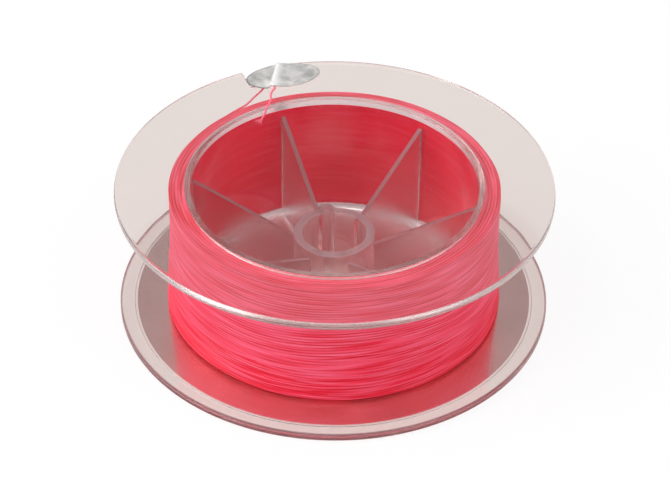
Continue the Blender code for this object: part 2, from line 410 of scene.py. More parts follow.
def block(name, lo, hi):
    """A box between two corners, its place in its mesh."""
    nothing_selected()
    centre = [(a + b) / 2 for a, b in zip(lo, hi)]
    bpy.ops.mesh.primitive_cube_add(size=1, location=centre, scale=[b - a for a, b in zip(lo, hi)])
    piece = bpy.context.object
    piece.name = name
    bpy.ops.object.transform_apply(location=True, rotation=True, scale=True)
    return piece


near_y, far_y = BOSS_OUT_R - RIB_ROOT, BARREL_IN_R + RIB_ROOT
rib_slope = (RIB_TOP_AT_BARREL - RIB_TOP_AT_BOSS) / (BARREL_IN_R - BOSS_OUT_R)
low_top = RIB_TOP_AT_BOSS - rib_slope * RIB_ROOT
rib = block("rib", (-RIB_T / 2, near_y, FLANGE_T - RIB_ROOT), (RIB_T / 2, far_y, low_top))
middle_y, middle_z = (near_y + far_y) / 2, low_top / 2
edit(rib)
select_edges(rib, lambda edge: all(v.co.z > middle_z and v.co.y > middle_y for v in edge.verts))
bpy.ops.transform.translate(value=(0, 0, rib_slope * (far_y - near_y)))
bevel(rib, lambda edge: rise(edge) > MM and all(v.co.z > middle_z for v in edge.verts), RIB_ROUND, 2)
ribs = [rib]
for number in range(1, RIB_COUNT):
    only(rib)
    bpy.ops.object.duplicate()
    ribs.append(bpy.context.object)
for number, piece in enumerate(ribs):
    turn_to(piece, RIB_FIRST_HEADING + 360 * number / RIB_COUNT)
nothing_selected()
for piece in ribs:
    piece.select_set(True)
bpy.context.view_layer.objects.active = rib
bpy.ops.object.join()
report(rib)

# %% [markdown]
# The boss has a lobe on one side, because the spindle's key needs a groove deeper than the boss's wall.
# The lobe is a short round post, and the groove a round-ended slot. Both are worked on lying towards +Y
# and then turned to their heading. Once all is joined, the boss's top edge gets one soft bevel that runs
# round the lobe as well.

# %% Join the ribs and the keyed lobe, and cut the groove
KEY_HEADING = -12.5
LOBE_R = 2.0 * MM
LOBE_Y = 9.1 * MM
GROOVE_W = 2.6 * MM
GROOVE_END_Y = 9.6 * MM
GROOVE_OVERLAP = 1.2 * MM  # the cutter starts this far inside the bore
CUT_PAST = 2 * MM  # and reaches this far past both ends
BOSS_ROUND = 0.18 * MM


def post(name, radius, y, bottom, top, steps=64):
    """An upright round post on the +Y side."""
    nothing_selected()
    bpy.ops.mesh.primitive_cylinder_add(
        vertices=steps, radius=radius, depth=top - bottom, location=(0, y, (bottom + top) / 2)
    )
    piece = bpy.context.object
    piece.name = name
    bpy.ops.object.transform_apply(location=True, rotation=True, scale=True)
    return piece


def boolean(target, tool, operation):
    apply_modifier(target, "BOOLEAN", operation=operation, solver="EXACT", object=tool)
    bpy.data.objects.remove(tool)


lobe = post("lobe", LOBE_R, LOBE_Y, 0, BOSS_TOP)
turn_to(lobe, KEY_HEADING)
end_y, cut_top = GROOVE_END_Y - GROOVE_W / 2, BOSS_TOP + CUT_PAST
groove_end = post("groove", GROOVE_W / 2, end_y, -CUT_PAST, cut_top)
groove = block(
    "groove_slot", (-GROOVE_W / 2, BOSS_BORE_R - GROOVE_OVERLAP, -CUT_PAST), (GROOVE_W / 2, end_y, cut_top)
)
boolean(groove, groove_end, "UNION")
turn_to(groove, KEY_HEADING)
boolean(moulding, rib, "UNION")
boolean(moulding, lobe, "UNION")
boolean(moulding, groove, "DIFFERENCE")

boss_edges = bevel(
    moulding,
    lambda edge: all(abs(v.co.z - BOSS_TOP) < SAME for v in edge.verts) and sharper_than(edge, 40),
    BOSS_ROUND, 3,
)
smooth(moulding)
print("edges bevelled round the boss's top:", boss_edges)
report(moulding)

# %% [markdown]
# The inside of the mould was never polished. The floor and the tops of the boss and of the ribs came out
# matt, the ribs' sides hazy, and the barrel's inner wall nearly clear. The joint with the top ring is
# rough from its glue, and the flange's flat sides are as bright as glass. Three numbers on each face say
# this. "matt" is its roughness. The second is pink painted into its colour: painted light, standing in for
# the pink light that a matt face scatters from the line near it. The third is a painted glow, standing in
# for the light that the rough joint scatters.

# %% Mark how matt, pink and milky each face is
UPWARD = 0.5  # a face looks up when its normal is steeper than this

# The roughness of each kind of face, and how much painted pink light it gets.
POLISHED = (0.0, 0.0)
MATT_TOP = (0.60, 1.0)
MATT_FLOOR = (0.50, 0.15)
FILLET = (0.22, 0.10)
HAZY_SIDE = (0.24, 0.30)
INNER_WALL = (0.10, 0.0)
BARREL_TOP = (0.08, 0.0)
SEAM_WALL = (0.40, 0.0)
HOLE_WALL = (0.25, 0.70)
RECESS_STEP = (0.45, 0.0)
LOWER_RIM = (0.20, 1.0)


def barrel_finish(face):
    """How matt a face of the moulding is and how much painted pink light it gets, from where it lies and
    which way it looks.
    """
    radius, height = face.center.xy.length, face.center.z
    if height < RECESS_DEPTH and abs(radius - RECESS_R) < 2 * NEAR:
        return RECESS_STEP
    if radius > FLANGE_R - RIM_ROUND / 2:
        return LOWER_RIM
    if height > TOP_UNDER and radius > BARREL_OUT_R - NEAR:
        return SEAM_WALL
    if height < FLANGE_T - NEAR or not BOSS_BORE_R + NEAR <= radius <= BARREL_OUT_R - NEAR:
        return POLISHED
    if height > TOP_UNDER + MM:
        return BARREL_TOP
    if height < FLANGE_T + NEAR:
        return MATT_FLOOR
    if height < FLANGE_T + FLOOR_FILLET:
        return FILLET
    if face.normal.z > UPWARD:
        return MATT_TOP
    return INNER_WALL if radius > BARREL_IN_R - 3 * NEAR else HAZY_SIDE


def painted_joint_glow(face, finish):
    """A painted glow on the rough joint, for the light that it scatters towards the viewer, most of all at
    the far side.
    """
    return max(0.0, face.center.y / BARREL_OUT_R) if finish in (SEAM_WALL, HOLE_WALL) else 0.0


def mark_faces(piece, finish_of):
    """Stores the three numbers on the piece's faces."""
    finishes = [finish_of(face) for face in piece.data.polygons]
    marks = [(*finish, painted_joint_glow(face, finish)) for face, finish in zip(piece.data.polygons, finishes)]
    for name, values in zip(("matt", "blush", "milk"), zip(*marks)):
        store(piece, name, values, "FACE")
    print(piece.name, "matt faces:", sum(matt > 0 for matt, _ in finishes), "of", len(finishes))


mark_faces(moulding, barrel_finish)

# %% [markdown]
# ## The top ring
#
# The second flange is a flat ring, moulded by itself and dropped over the barrel's top. It is spun from a
# plain section, and its rim and its hole are rounded. The slanted notch that catches the line is drawn as
# an outline, given height and cut out. Rim and notch could be rounded together, but large bevels collide
# where they meet. So the rim is rounded before the cut, and the notch's sharp edges get a small bevel last.

# %% Spin the ring, cut its notch and round its edges
NOTCH_MOUTH = (-22.1, 9.37 * MM)  # heading and width at the rim
NOTCH_FOOT = (-25.28, 3.87 * MM)  # heading and width at the foot
NOTCH_FOOT_R = 43.3 * MM
NOTCH_CORNER = 0.6 * MM
NOTCH_ROUND = 0.2 * MM
CUTTER_OUT_R = FLANGE_R + 4 * MM
CUTTER_PAST = MM  # above and below the ring
HOLE_ROUND = 0.08 * MM
RING_STEPS = 2 * TURN_STEPS  # its clear rim would show coarser facets
FACE_LOOPS = (37 * MM, 41 * MM)  # they split the wide flat faces
FLAT_FACE = 0.9  # a face lies flat when its normal is steeper than this
RIM = (0.05, 0.0)
NOTCH_WALL = (0.30, 0.0)


def polar(radius, heading):
    angle = math.radians(heading)
    return Vector((radius * math.sin(angle), radius * math.cos(angle), 0))


def notch_point(heading, width, radius, side):
    """A corner of the notch: a point at a heading, moved sideways by half the width."""
    return polar(radius, heading) + polar(side * width / 2, heading + 90)


ring_hole_r = BARREL_OUT_R + SEAM
loops = [ring_hole_r, ring_hole_r + MM, *FACE_LOOPS, FLANGE_R]
ring = spun(
    "top_ring",
    [(radius, TOP_UNDER) for radius in loops] + [(radius, HEIGHT) for radius in reversed(loops)],
    steps=RING_STEPS,
)
round_rings(ring, [(FLANGE_R, TOP_UNDER), (FLANGE_R, HEIGHT)], RIM_ROUND, 6)
round_rings(ring, [(ring_hole_r, TOP_UNDER), (ring_hole_r, HEIGHT)], HOLE_ROUND, 2)
notch_corners = [
    notch_point(*NOTCH_MOUTH, FLANGE_R, -1),
    notch_point(*NOTCH_FOOT, NOTCH_FOOT_R, -1),
    notch_point(*NOTCH_FOOT, NOTCH_FOOT_R, 1),
    notch_point(*NOTCH_MOUTH, FLANGE_R, 1),
    notch_point(*NOTCH_MOUTH, CUTTER_OUT_R, 1),
    notch_point(*NOTCH_MOUTH, CUTTER_OUT_R, -1),
]
nothing_selected()
bpy.ops.mesh.primitive_circle_add(vertices=len(notch_corners), radius=MM, fill_type="NGON")
notch = bpy.context.object
notch.name = "notch"
for vertex, corner in zip(notch.data.vertices, notch_corners):
    vertex.co = corner
edit(notch)
bpy.ops.transform.translate(value=(0, 0, TOP_UNDER - CUTTER_PAST))
bpy.ops.mesh.extrude_region_move(TRANSFORM_OT_translate={"value": (0, 0, FLANGE_T + 2 * CUTTER_PAST)})
foot_edges = bevel(
    notch, lambda edge: rise(edge) > MM and edge.verts[0].co.xy.length < NOTCH_FOOT_R + MM, NOTCH_CORNER, 4
)
mend(notch)
boolean(ring, notch, "DIFFERENCE")
notch_edges = bevel(ring, lambda edge: sharper_than(edge, 60) and rise(edge) < SAME, NOTCH_ROUND, 3)
smooth(ring)
print("rounded corners at the notch's foot:", foot_edges, "bevelled edges:", notch_edges)
report(ring)


def ring_finish(face):
    radius = face.center.xy.length
    if radius < ring_hole_r + 2 * NEAR:
        return HOLE_WALL
    if radius > FLANGE_R - RIM_ROUND:
        return RIM
    return NOTCH_WALL if abs(face.normal.z) < FLAT_FACE else POLISHED


mark_faces(ring, ring_finish)

# %% [markdown]
# ## The wound line
#
# Some 300 m of braided line fill the spool. What shows is the top layer: fine turns side by side, with
# grooves where a turn sank between its neighbours, and here and there a strand that crosses the others.
# A tube for every turn would cost hundreds of thousands of faces, so the layer is one ring whose section
# has a ridge for each turn. The ridges are about twice as wide as the real turns, because finer ones melt
# into false bands in a picture of this size.

# %% Spin the winding
WINDING_STEPS = 224
TURNS = 42
ROWS_PER_TURN = 4  # a valley, a flank, a crest and a flank
WINDING_IN_R = BARREL_OUT_R + SEAM
WINDING_GAP = 0.03 * MM  # to the flanges
WINDING_FOOT_R, WINDING_MID_R, WINDING_TOP_R = 38.95 * MM, 37.9 * MM, 37.75 * MM
INNER_ROWS = 60  # on the side that touches the barrel
winding_bottom = FLANGE_T + WINDING_GAP
winding_top = TOP_UNDER - WINDING_GAP
winding_height = winding_top - winding_bottom
pitch = winding_height / TURNS


def winding_radius(height):
    """The winding is a little fuller at its foot: a curve through its foot, middle and top radius."""
    share = (height - winding_bottom) / winding_height
    bow = 2 * (2 * WINDING_MID_R - WINDING_FOOT_R - WINDING_TOP_R)
    return WINDING_FOOT_R + (WINDING_TOP_R - WINDING_FOOT_R) * share + bow * share * (1 - share)


heights = [winding_bottom + pitch * row / ROWS_PER_TURN for row in range(TURNS * ROWS_PER_TURN + 1)]
top_rows = int((WINDING_TOP_R - WINDING_IN_R) / pitch * ROWS_PER_TURN)
top_radii = [WINDING_TOP_R - pitch * row / ROWS_PER_TURN for row in range(1, top_rows)]
inner_heights = [winding_top - winding_height * row / INNER_ROWS for row in range(INNER_ROWS + 1)]
winding = spun(
    "wound_line",
    [(winding_radius(height), height) for height in heights]
    + [(radius, winding_top) for radius in top_radii]
    + [(WINDING_IN_R, height) for height in inner_heights],
    steps=WINDING_STEPS,
)
report(winding)

# %% [markdown]
# Every turn now gets a crest, and a valley below it. How high a crest stands and how deep a valley lies
# changes round the spool, by waves drawn at random for each turn from a fixed seed. A whole number of
# periods fits round the spool, so there is no seam. The turns also drift up and down a little, because
# nobody winds line dead level. Three things are stored on the mesh, and the material colours the turns by
# them: a painted shade in the valleys; how dull each turn is, with a painted highlight on the higher crests
# and a painted shade near the foot; and a painted glow where a little light would soak through the braid.

# %% Raise the crests, sink the valleys and let the turns drift
CREST_SPREAD = 0.035 * MM
CREST_LEVEL = 0.08 * MM  # how far the highest crest may stand out
FLANK = 0.3  # how much of the valley's depth a flank has
VALLEY_DEPTH = 0.10 * MM
VALLEY_CHANGE = 0.35  # of the depth, for one spread
GAP_DEPTH = 0.16 * MM
GAP_FROM = 1.1  # valleys deeper than this many spreads open into a gap
CORNER_ROUND = 0.35 * MM
WAVES_ROUND = 14
DRIFT = 0.36 * MM
DRIFT_HEIGHT = 26 * MM
DRIFT_FREE = 2 * MM  # from a flange, where the turns begin to drift freely
# Painted shade, as a share of the groove colour: in the valleys, and a little on the side against the barrel.
VALLEY_SHADE, INNER_SHADE = 0.8, 0.15
# The turns' own dullness, less on higher crests as a painted highlight, and more near the foot as a painted
# shade.
CREST_DULL, CREST_HIGHLIGHT, FOOT_SHADE = 0.32, 0.2, 0.65
INNER_DULL, INNER_CHANGE = 0.88, 0.12
# A painted glow on the winding's underside and on the side against the barrel, for light that soaks through
# the braid.
UNDERGLOW_BELOW, UNDERGLOW_INSIDE = 0.25, 0.12
dice = np.random.default_rng(7)


def turn_waves(turns):
    """A table of smooth random waves round the spool, a row for each turn, with about unit spread."""
    angles = np.arange(WINDING_STEPS) * math.tau / WINDING_STEPS
    phases = dice.uniform(0, math.tau, (turns, 1, WAVES_ROUND))
    waves = np.sin(angles[None, :, None] * np.arange(1, WAVES_ROUND + 1) + phases)
    return waves.sum(axis=2) / math.sqrt(WAVES_ROUND / 2)


def slanted_waves(levels, angles, rates, slants, count):
    """Random waves with about unit spread: so many periods per level, and whole periods round the spool."""
    total = np.zeros_like(levels)
    for _ in range(count):
        rate = dice.uniform(*rates)
        around = dice.integers(-slants, slants + 1)
        total += np.sin(math.tau * rate * levels + around * angles + dice.uniform(0, math.tau))
    return total / math.sqrt(count / 2)


points = np.empty(len(winding.data.vertices) * 3)
winding.data.vertices.foreach_get("co", points)
points = points.reshape(-1, 3)
radii = np.hypot(points[:, 0], points[:, 1])
angles = np.arctan2(points[:, 1], points[:, 0])
outer = radii > WINDING_IN_R + pitch / 10
on_top = outer & (points[:, 2] > winding_top - pitch / 10)
climbed = points[:, 2] - winding_bottom + np.where(on_top, WINDING_TOP_R - radii, 0)
rows = np.where(outer, np.round(climbed / pitch * ROWS_PER_TURN), 0).astype(int)
steps = np.round(angles / math.tau * WINDING_STEPS).astype(int) % WINDING_STEPS
turn, part = rows // ROWS_PER_TURN, rows % ROWS_PER_TURN
crests, valleys = turn_waves(turn.max() + 2), turn_waves(turn.max() + 2)
crest = crests[turn, steps]
valley = valleys[turn + (part == 3), steps]
low = VALLEY_DEPTH * np.clip(1 + VALLEY_CHANGE * valley, 0.2, 2)
low += GAP_DEPTH * np.clip(valley - GAP_FROM, 0, 2)
high = np.minimum(CREST_SPREAD * crest, CREST_LEVEL)
share = np.choose(part, (1.0, FLANK, 0.0, FLANK))  # of the valley; the rest is crest
lift = np.where(outer, high * (1 - share) - low * share, 0)
depth = np.clip(VALLEY_SHADE + VALLEY_CHANGE * valley, 0, 1) * share
from_foot = (points[:, 2] - winding_bottom) / winding_height
# A painted highlight on the higher crests and a painted shade near the foot, on the turns' own dullness.
dullness_and_shade = np.clip(CREST_DULL - CREST_HIGHLIGHT * crest + FOOT_SHADE * (1 - from_foot) ** 3, 0, 1)
soaked = ~outer | (rows == 0)
inner_rows = np.round((winding_top - points[:, 2]) / winding_height * INNER_ROWS).astype(int)
inner_crest = crests[np.clip(inner_rows, 0, len(crests) - 1), steps]
inner_dullness = np.clip(INNER_DULL + INNER_CHANGE * inner_crest, 0, 1)

from_end = np.minimum(points[:, 2] - winding_bottom, winding_top - points[:, 2])
edge = np.where(on_top, WINDING_TOP_R - radii, from_end)
rounding = CORNER_ROUND * np.clip(1 - edge / CORNER_ROUND, 0, 1) ** 2 * outer
drift = DRIFT * slanted_waves(points[:, 2] / DRIFT_HEIGHT, angles, (0.4, 1.2), 4, 10)
drift *= np.clip(from_end / DRIFT_FREE, 0, 1) * outer
stretch = (radii + np.where(on_top, -rounding, lift - rounding)) / radii
points[:, 0] *= stretch
points[:, 1] *= stretch
points[:, 2] += np.where(on_top, lift - CREST_LEVEL - rounding / 2, drift)
winding.data.vertices.foreach_set("co", points.ravel())
# On the mesh: the grooves' painted shade, the dullness with its painted highlight and shade, and the painted
# glow.
store(winding, "sunk", np.where(outer, depth, INNER_SHADE))
store(winding, "dull", np.where(outer, dullness_and_shade, inner_dullness))
store(winding, "soaked", np.where(outer, UNDERGLOW_BELOW, UNDERGLOW_INSIDE) * soaked)
winding.data.update()
smooth(winding, angle=60)
print("deepest gap, in mm:", round(float(lift.min()) / MM, 2), "highest:", round(float(lift.max()) / MM, 2))

# %% [markdown]
# A few dozen turns of the last layer lie on top of the others and cross them at a slight slant. Each is
# a thin tube that comes up out of the layer, runs round part of the spool and dives in again.

# %% Lay the crossing strands
STRANDS = 54
STRAND_D = 0.3 * MM
STRAND_SUNK = 0.13 * MM  # its middle below the turns
STRAND_REACH = (0.8, 3.4)  # radians round the spool
STRAND_CLIMB = 0.7 * MM  # the spread of the climb in one radian
STRAND_STEPS = 30  # in one radian
STRAND_DIVES = 6  # it dives in over one part in so many, at each end
STRAND_DULL = 0.45
strand_paths = []
for _ in range(STRANDS):
    start = dice.uniform(0, math.tau)
    reach = dice.uniform(*STRAND_REACH)
    height = dice.uniform(winding_bottom + MM, winding_top - MM)
    climb = dice.normal(0, STRAND_CLIMB) * reach
    count = int(reach * STRAND_STEPS)
    path = []
    for step in range(count):
        share = step / (count - 1)
        angle = start + reach * share
        z = min(max(height + climb * (share - 0.5), winding_bottom + STRAND_D), winding_top - STRAND_D)
        dive = STRAND_D * (1 - min(1, STRAND_DIVES * share, STRAND_DIVES * (1 - share)))
        radius = winding_radius(z) - STRAND_SUNK - dive
        path.append(Vector((radius * math.cos(angle), radius * math.sin(angle), z)))
    strand_paths.append(path)
strand_widths = [[STRAND_D] * len(path) for path in strand_paths]
strands = as_mesh(tube_curve("crossing_strands", strand_paths, strand_widths, sides=1))
store(strands, "dull", [STRAND_DULL] * len(strands.data.vertices))
smooth(strands, angle=60)
report(strands)

# %% [markdown]
# ## The line's loose plies and frayed tip
#
# The line is a braid of fine fibres, and past the sticker it has begun to open. Its core is the curve
# above. Round it go four plies, each on a helix about the core's path, and at the cut end the fibres
# splay out. The helix needs a frame that travels along the path without spinning, so each step's sideways
# direction is carried on from the last one.

# %% Twist the plies and splay the tip
PLY_COUNT = 4
PLY_D = 0.24 * MM
PLY_OUT = 0.15 * MM  # from the core's middle to a ply's
PLY_TURN = 1.9 * MM  # one turn of the helix
PLY_TIP = 0.35
FRAY_COUNT = 14
FRAY_D = 0.22 * MM
FRAY_TAPER = 0.55
FRAY_LENGTH = 2.1 * MM
FRAY_STEPS = 8
FRAY_SPREAD = (0.15, 0.8)
FRAY_CURL = 0.35 * MM
FRAY_ROOT = 1.6 * MM  # how far before the cut end the fibres part
FRAY_LEAN = Vector((-0.25, -0.05, 0.15))  # they are swept to the left


def travelling_frames(path):
    """For each point of a path: the way it runs, and two directions across it that don't spin."""
    frames = []
    side = Vector((0, 0, 1))
    for number, point in enumerate(path):
        ahead = path[min(number + 1, len(path) - 1)]
        behind = path[max(number - 1, 0)]
        along = (ahead - behind).normalized()
        side = (side - along * side.dot(along)).normalized()
        frames.append((along, side, along.cross(side)))
    return frames


fine_path = smooth_path(LINE_ROUTE, 14)
frames = travelling_frames(fine_path)
ply_paths = []
for number in range(PLY_COUNT):
    run, path = 0.0, []
    for step, (point, (_, side, over)) in enumerate(zip(fine_path, frames)):
        if step:
            run += (point - fine_path[step - 1]).length
        angle = math.tau * (number / PLY_COUNT + run / PLY_TURN)
        path.append(point + (side * math.cos(angle) + over * math.sin(angle)) * PLY_OUT)
    ply_paths.append(path)
ply_widths = thinned(fine_path, PLY_D, PLY_TIP)
plies = as_mesh(tube_curve("loose_plies", ply_paths, [ply_widths] * PLY_COUNT, sides=1))
smooth(plies, angle=60)

root_step = next(
    step for step in range(len(fine_path)) if (fine_path[step] - fine_path[-1]).length < FRAY_ROOT
)
root = fine_path[root_step]
along, side, over = frames[root_step]
shares = [step / FRAY_STEPS for step in range(FRAY_STEPS + 1)]
fray_paths = []
for number in range(FRAY_COUNT):
    angle = math.tau * (number + dice.uniform(-0.3, 0.3)) / FRAY_COUNT
    outward = side * math.cos(angle) + over * math.sin(angle)
    spread = outward * dice.uniform(*FRAY_SPREAD) + FRAY_LEAN
    length = FRAY_LENGTH * dice.uniform(0.6, 1.0)
    curl = Vector(dice.uniform(-1, 1, 3)) * FRAY_CURL
    splayed = [(along + spread * share) * length * share + curl * share**2 for share in shares]
    fray_paths.append([root + outward * FRAY_D / 4 + way for way in splayed])
fray_widths = [FRAY_D * (1 - FRAY_TAPER * share) for share in shares]
fray = as_mesh(tube_curve("frayed_tip", fray_paths, [fray_widths] * FRAY_COUNT, sides=1))
smooth(fray, angle=60)
report(plies)
report(fray)

# %% [markdown]
# ## The oval sticker
#
# A small oval of silver paper holds the line down on the ring. It could be a flat disc, but on the real
# spool it tents over the line, sags a little where it spans the notch, and its edge lifts. So it starts
# as a fine grid, whose square is mapped to an oval without pinching, and each point is then raised by how
# far it is from the crease. Solidify gives the paper its thickness.

# %% Lay the sticker over the line
STICKER_CENTRE = Vector((-12.8, 42.4, 0)) * MM
STICKER_HALF = (9.1 * MM, 4.95 * MM)
STICKER_TILT = math.radians(16.9)
STICKER_T = 0.12 * MM
STICKER_FLOOR = HEIGHT + 0.10 * MM
CREASE_TOP = Vector((-14.3, 46.8, 0)) * MM
CREASE_FOOT = Vector((-15.7, 36.8, 0)) * MM
TENT = (0.55 * MM, 0.85 * MM)  # at the crease's top and foot
TENT_WIDTHS = (0.38 * MM, 2.4 * MM)  # to the left and right of the crease
TENT_POWER = 1.5
WRINKLE, FINE_WRINKLE = 0.045 * MM, 0.02 * MM
EDGE_FROM, EDGE_LIFT = 0.7, 0.14 * MM  # from this share of the way out, and how high
LOBE_FROM, LOBE_WIDTH = 0.25, 0.6  # the left lobe, in shares of the oval's half length
SAG, LOWEST = 0.30 * MM, 0.25 * MM  # of the left lobe, which spans the notch
OVER_LINE = 0.36 * MM  # from the line's middle to the paper
DRAPE = 1.1 * MM  # how wide the paper's hump over the line is
FOLD_HIGHLIGHT_REACH = 1.5 * MM  # how far the painted highlight on the fold's face reaches
FOLD_HIGHLIGHT_LEFT = 0.25 * MM
DARK_EDGE = 0.10
STICKER_INNER_R = 36 * MM  # the paper ends before this radius
over_ring = [point for point in fine_path if point.xy.length > STICKER_INNER_R and point.z > TOP_UNDER]


def over_the_line(place):
    """How high the line pushes the paper here."""
    humps = (
        (point.z + OVER_LINE - STICKER_FLOOR) * math.exp(-(((place - point).xy.length / DRAPE) ** 2))
        for point in over_ring
    )
    return max(humps)


nothing_selected()
bpy.ops.mesh.primitive_grid_add(x_subdivisions=96, y_subdivisions=56, size=2)
sticker = bpy.context.object
sticker.name = "oval_sticker"
crease = (CREASE_FOOT - CREASE_TOP).normalized()
whitened, darkened = [], []
for vertex in sticker.data.vertices:
    across, over = vertex.co.x, vertex.co.y
    x = STICKER_HALF[0] * across * math.sqrt(1 - over**2 / 2)
    y = STICKER_HALF[1] * over * math.sqrt(1 - across**2 / 2)
    place = STICKER_CENTRE + Vector((
        x * math.cos(STICKER_TILT) - y * math.sin(STICKER_TILT),
        x * math.sin(STICKER_TILT) + y * math.cos(STICKER_TILT),
        0,
    ))
    away = (place - CREASE_TOP).cross(crease).z  # positive to the left of the crease
    down = (place - CREASE_TOP).dot(crease) / (CREASE_FOOT - CREASE_TOP).length
    out = across**2 + over**2 - across**2 * over**2  # 0 at the middle, 1 at the edge
    left = max(0.0, min(1.0, (-across - LOBE_FROM) / LOBE_WIDTH))
    width = TENT_WIDTHS[0] if away > 0 else TENT_WIDTHS[1] * (0.45 + 0.75 * down)
    tent = (TENT[0] + (TENT[1] - TENT[0]) * down) * math.exp(-((abs(away) / width) ** TENT_POWER))
    wrinkle = WRINKLE * math.sin(across * 9 + over * 3) * math.sin(over * 6 - across * 4)
    wrinkle += FINE_WRINKLE * math.sin(across * 23 - over * 11)
    edge_lift = EDGE_LIFT * max(0.0, out - EDGE_FROM) / (1 - EDGE_FROM)
    free = tent + wrinkle + edge_lift - SAG * left**2
    place.z = STICKER_FLOOR + max(free, over_the_line(place), -LOWEST * left)
    vertex.co = place
    # The painted highlight along the fold, standing in for a reflection on its face; wider to its right.
    reach = FOLD_HIGHLIGHT_LEFT if away > 0 else FOLD_HIGHLIGHT_REACH * (0.5 + 0.8 * max(0.0, down))
    whitened.append(math.exp(-((away / reach) ** 2)))
    darkened.append(max(0.0, 1 - (1 - out) / DARK_EDGE) * (0.35 + 0.65 * left))
store(sticker, "whitened", whitened)
store(sticker, "darkened", darkened)
apply_modifier(sticker, "SOLIDIFY", thickness=STICKER_T, offset=1.0)
smooth(sticker, angle=50)
report(sticker)

# %% [markdown]
# ## The foil label
#
# A round foil label is stuck in the shallow recess under the floor, and its back shines through the clear
# plastic. It is spun like the moulding. Foil never lies perfectly flat, so its points are moved up and
# down by a few hundredths of a millimetre, which is enough to break up its reflections.

# %% Spin the foil label
LABEL_R = 46.0 * MM
LABEL_HOLE_R = 11.8 * MM
LABEL_T = 0.2 * MM
LABEL_TOP = RECESS_DEPTH - 0.06 * MM  # a hair under the plastic
LABEL_ROWS, LABEL_STEPS = 40, 192
RIPPLE = 0.02 * MM
label_radii = [LABEL_HOLE_R + (LABEL_R - LABEL_HOLE_R) * row / LABEL_ROWS for row in range(LABEL_ROWS + 1)]
label = spun(
    "foil_disc",
    [(radius, LABEL_TOP - LABEL_T) for radius in label_radii]
    + [(radius, LABEL_TOP) for radius in reversed(label_radii)],
    steps=LABEL_STEPS,
)
for vertex in label.data.vertices:
    x, y = vertex.co.x / LABEL_R, vertex.co.y / LABEL_R
    ripple = math.sin(7 * x + 3 * y) * math.sin(5 * y - 4 * x + 1.3) + 0.5 * math.sin(17 * x - 9 * y + 0.6)
    vertex.co.z += RIPPLE * ripple
smooth(label)
report(label)

# %% [markdown]
# ## Shader sums
#
# Finishes are mixed from nodes. Written out one by one they are long, so a socket is wrapped in a small
# class whose arithmetic adds Math nodes, and one method makes every other kind of node.

# %% A socket that can be used in sums
class Value:
    """A number that changes over a surface."""

    def __init__(self, tree, socket):
        self.tree, self.socket = tree, socket

    def maths(self, operation, *operands):
        return self.tree.node("ShaderNodeMath", {"operation": operation}, dict(enumerate(operands)))

    def __add__(self, other):
        return self.maths("ADD", self, other)

    def __sub__(self, other):
        return self.maths("SUBTRACT", self, other)

    def __rsub__(self, other):
        return self.maths("SUBTRACT", other, self)

    def __mul__(self, other):
        return self.maths("MULTIPLY", self, other)

    __radd__ = __add__
    __rmul__ = __mul__

    def sine(self):
        return self.maths("SINE", self)

    def held(self):
        """Kept between 0 and 1."""
        return self.tree.node("ShaderNodeClamp", {}, {0: self})

    def output(self, name):
        return Value(self.tree, self.tree.find(self.socket.node.outputs, name))


class Tree:
    """A node tree in which one method makes any node."""

    def __init__(self, tree):
        self.tree = tree

    @staticmethod
    def find(sockets, key):
        if isinstance(key, int):
            return sockets[key]
        return next(socket for socket in sockets if key in (socket.identifier, socket.name))

    def node(self, kind, settings, sockets, output=0):
        """A node of this kind, with its settings made first and then its sockets filled or linked."""
        made = self.tree.nodes.new(kind)
        for name, value in settings.items():
            if name == "stops":
                ramp = made.color_ramp.elements
                while len(ramp) < len(value):
                    ramp.new(0.5)
                for stop, (position, colour) in zip(ramp, value):
                    stop.position, stop.color = position, (*colour, 1.0)
            else:
                setattr(made, name, value)
        self.fill(made, sockets)
        return Value(self, self.find(made.outputs, output))

    def fill(self, node, sockets):
        for key, value in sockets.items():
            socket = self.find(node.inputs, key)
            if isinstance(value, Value):
                self.tree.links.new(value.socket, socket)
            elif isinstance(value, tuple) and socket.type == "RGBA":
                socket.default_value = (*value, 1.0)
            else:
                socket.default_value = value

    def place(self, stretch=(1, 1, 1)):
        """The point on the piece, in metres, stretched along each axis."""
        point = self.node("ShaderNodeTexCoord", {}, {}, "Object")
        return self.node("ShaderNodeVectorMath", {"operation": "MULTIPLY"}, {0: point, 1: stretch})

    def mark(self, name):
        """A number stored on the piece's mesh."""
        return self.node("ShaderNodeAttribute", {"attribute_name": name}, {}, "Fac")

    def noise(self, scale, stretch=(1, 1, 1), detail=2.0):
        return self.node(
            "ShaderNodeTexNoise", {}, {"Vector": self.place(stretch), "Scale": scale, "Detail": detail}
        )

    def blend(self, share, first, second):
        """From one colour to another."""
        sockets = {"Factor_Float": share, "A_Color": first, "B_Color": second}
        return self.node("ShaderNodeMix", {"data_type": "RGBA"}, sockets, "Result_Color")


class Finish(Tree):
    """A material whose plain values are set on its shader's own sockets."""

    def __init__(self, name, plain):
        self.material = bpy.data.materials.new(name)
        self.material.use_nodes = True
        super().__init__(self.material.node_tree)
        self.shader = self.tree.nodes["Principled BSDF"]
        self.fill(self.shader, plain)

    def vary(self, sockets, height=None, depth=0.0, strength=1.0):
        """Links what changes over the surface, and bumps it by a height."""
        self.fill(self.shader, sockets)
        if height is not None:
            bump = self.node(
                "ShaderNodeBump", {}, {"Height": height, "Distance": depth, "Strength": strength}
            )
            self.fill(self.shader, {"Normal": bump})

    def on(self, *pieces):
        for piece in pieces:
            piece.data.materials.clear()
            piece.data.materials.append(self.material)
